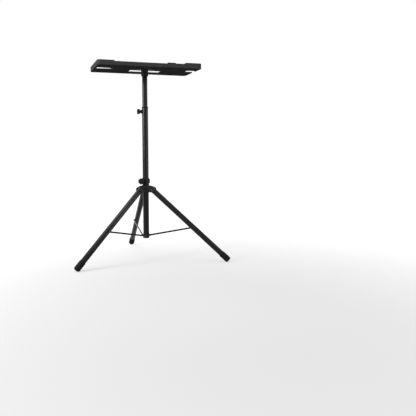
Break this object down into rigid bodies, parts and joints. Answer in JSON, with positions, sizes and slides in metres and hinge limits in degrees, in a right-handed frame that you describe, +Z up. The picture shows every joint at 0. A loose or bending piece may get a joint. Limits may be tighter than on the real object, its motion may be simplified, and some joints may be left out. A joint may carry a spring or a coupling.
{
  "type": "indoor cycling stand-up desk",
  "caption": "Stand-up desk for indoor cycling: a moulded tray with bays for a laptop and a bottle on a telescopic mast with a folding braced tripod",
  "frame": {"origin": "on the floor, under the middle of the stand's outline", "axes": "+Z up, -Y towards the rider, +X to the rider's right as they face the desk"},
  "size_m": [0.8844, 0.7708, 1.1278],
  "materials": {
    "black_steel": "satin black powder coat",
    "plated_steel": "zinc plated",
    "blackened_steel": "oxide blackened, oiled",
    "black_plastic": "fine moulded grain",
    "tray_plastic": "fine moulded grain, satin",
    "black_rubber": "matt"
  },
  "bodies": {
    "base": {"mast_outer_tube": "black_steel", "mast_end_plug": "black_plastic", "stay_collar": "black_steel", "stay_pin_left": "blackened_steel", "stay_pin_rear": "blackened_steel", "stay_pin_right": "blackened_steel", "tube_bush": "black_plastic", "height_lock_boss": "black_steel"},
    "height_knob": {"height_lock_knob": "black_plastic", "height_lock_screw": "plated_steel"},
    "upper_mast": {"mast_inner_tube": "black_steel", "inner_tube_glide": "black_plastic"},
    "desk": {"desk_socket": "black_plastic", "desk_tray": "tray_plastic", "tray_screw_front_left": "blackened_steel", "tray_screw_front_right": "blackened_steel", "tray_screw_rear_left": "blackened_steel", "tray_screw_rear_right": "blackened_steel"},
    "socket_knob": {"socket_lock_knob": "black_plastic", "socket_lock_screw": "plated_steel"},
    "hub": {"leg_hub": "black_plastic", "leg_rivet_left": "blackened_steel", "leg_rivet_rear": "blackened_steel", "leg_rivet_right": "blackened_steel", "hub_clamp_nut": "plated_steel"},
    "clamp_knob": {"hub_clamp_knob": "black_plastic", "hub_clamp_bolt": "plated_steel"},
    "leg_left": {"leg_tube_left": "black_steel", "leg_plug_left": "black_plastic", "leg_foot_left": "black_rubber"},
    "brace_left": {"stay_left": "black_steel", "stay_rivet_left": "blackened_steel"},
    "leg_rear": {"leg_tube_rear": "black_steel", "leg_plug_rear": "black_plastic", "leg_foot_rear": "black_rubber"},
    "brace_rear": {"stay_rear": "black_steel", "stay_rivet_rear": "blackened_steel"},
    "leg_right": {"leg_tube_right": "black_steel", "leg_plug_right": "black_plastic", "leg_foot_right": "black_rubber"},
    "brace_right": {"stay_right": "black_steel", "stay_rivet_right": "blackened_steel"}
  },
  "joints": [
    {"name": "hub_slide", "type": "slide", "parent": "base", "child": "hub", "axis": [0, 0, 1], "range_m": [0, 0.3281]},
    {"name": "leg_left_fold", "type": "hinge", "parent": "hub", "child": "leg_left", "pos_m": [-0.03837, -0.14223, 0.40845], "axis": [0.5, -0.866, 0], "range_deg": [0, 48.7]},
    {"name": "leg_rear_fold", "type": "hinge", "parent": "hub", "child": "leg_rear", "pos_m": [0, -0.07578, 0.40845], "axis": [-1, 0, 0], "range_deg": [0, 48.7]},
    {"name": "leg_right_fold", "type": "hinge", "parent": "hub", "child": "leg_right", "pos_m": [0.03837, -0.14223, 0.40845], "axis": [0.5, 0.866, 0], "range_deg": [0, 48.7]},
    {"name": "brace_left_fold", "type": "hinge", "parent": "base", "child": "brace_left", "pos_m": [-0.01905, -0.13108, 0.13885], "axis": [-0.5, 0.866, 0], "range_deg": [0, 73.8]},
    {"name": "brace_rear_fold", "type": "hinge", "parent": "base", "child": "brace_rear", "pos_m": [0, -0.09808, 0.13885], "axis": [1, 0, 0], "range_deg": [0, 73.8]},
    {"name": "brace_right_fold", "type": "hinge", "parent": "base", "child": "brace_right", "pos_m": [0.01905, -0.13108, 0.13885], "axis": [-0.5, -0.866, 0], "range_deg": [0, 73.8]},
    {"name": "mast_height", "type": "slide", "parent": "base", "child": "upper_mast", "axis": [0, 0, 1], "range_m": [-0.174, 0.25]},
    {"name": "desk_swivel", "type": "hinge", "parent": "upper_mast", "child": "desk", "pos_m": [0, -0.12008, 1.10035], "axis": [0, 0, 1], "range_deg": [-180, 180]},
    {"name": "height_knob_turn", "type": "hinge", "parent": "base", "child": "height_knob", "pos_m": [0, -0.12008, 0.86425], "axis": [-1, 0, 0], "range_deg": [0, 720]},
    {"name": "clamp_knob_turn", "type": "hinge", "parent": "hub", "child": "clamp_knob", "pos_m": [-0.0313, -0.12008, 0.46095], "axis": [0, -1, 0], "range_deg": [0, 720]},
    {"name": "socket_knob_turn", "type": "hinge", "parent": "desk", "child": "socket_knob", "pos_m": [0, -0.12008, 1.07535], "axis": [0, 1, 0], "range_deg": [0, 720]}
  ],
  "couplings": [
    {"joint": "leg_left_fold", "follows": "hub_slide", "rad_per_m": 2.5899},
    {"joint": "leg_rear_fold", "follows": "hub_slide", "rad_per_m": 2.5899},
    {"joint": "leg_right_fold", "follows": "hub_slide", "rad_per_m": 2.5899},
    {"joint": "brace_left_fold", "follows": "hub_slide", "rad_per_m": 3.9244},
    {"joint": "brace_rear_fold", "follows": "hub_slide", "rad_per_m": 3.9244},
    {"joint": "brace_right_fold", "follows": "hub_slide", "rad_per_m": 3.9244}
  ]
}
